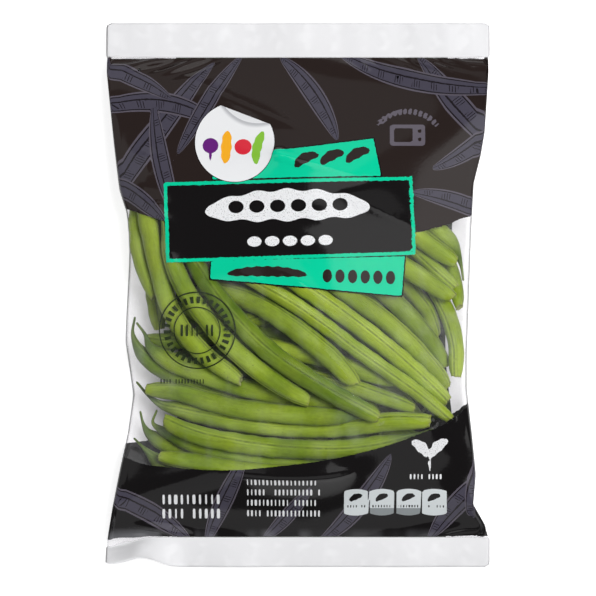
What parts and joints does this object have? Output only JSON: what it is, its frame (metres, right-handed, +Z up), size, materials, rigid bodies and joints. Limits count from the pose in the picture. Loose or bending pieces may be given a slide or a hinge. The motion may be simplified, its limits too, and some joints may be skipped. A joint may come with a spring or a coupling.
{
  "type": "bag of green beans",
  "caption": "Sealed clear pillow bag that holds a bundle of trimmed French beans, with dark printed bands across both ends and a clear window between them.",
  "frame": {"origin": "on the surface that the bag lies on, under the middle of its outline", "axes": "+X across the bag, +Y from the foot seal to the header seal, +Z up out of the window"},
  "size_m": [0.1646, 0.235, 0.0459],
  "materials": {
    "film": "clear gloss film with dark printed bands and whitish seals",
    "bean": "satin green pod skin with a thin waxy bloom"
  },
  "bodies": {
    "root": {"bag_film": "film", "bean_01": "bean", "bean_02": "bean", "bean_03": "bean", "bean_04": "bean", "bean_05": "bean", "bean_06": "bean", "bean_07": "bean", "bean_08": "bean", "bean_09": "bean", "bean_10": "bean", "bean_11": "bean", "bean_12": "bean", "bean_13": "bean", "bean_14": "bean", "bean_15": "bean", "bean_16": "bean", "bean_17": "bean", "bean_18": "bean", "bean_19": "bean", "bean_20": "bean", "bean_21": "bean", "bean_22": "bean", "bean_23": "bean", "bean_24": "bean", "bean_25": "bean", "bean_26": "bean", "bean_27": "bean", "bean_28": "bean", "bean_29": "bean", "bean_30": "bean", "bean_31": "bean", "bean_32": "bean", "bean_33": "bean", "bean_34": "bean", "bean_35": "bean", "bean_36": "bean", "bean_37": "bean", "bean_38": "bean", "bean_39": "bean", "bean_40": "bean", "bean_41": "bean", "bean_42": "bean", "bean_43": "bean", "bean_44": "bean", "bean_45": "bean", "bean_46": "bean", "bean_47": "bean", "bean_48": "bean", "bean_49": "bean", "bean_50": "bean", "bean_51": "bean", "bean_52": "bean", "bean_53": "bean", "bean_54": "bean", "bean_55": "bean", "bean_56": "bean", "bean_57": "bean", "bean_58": "bean", "bean_59": "bean"}
  },
  "joints": []
}
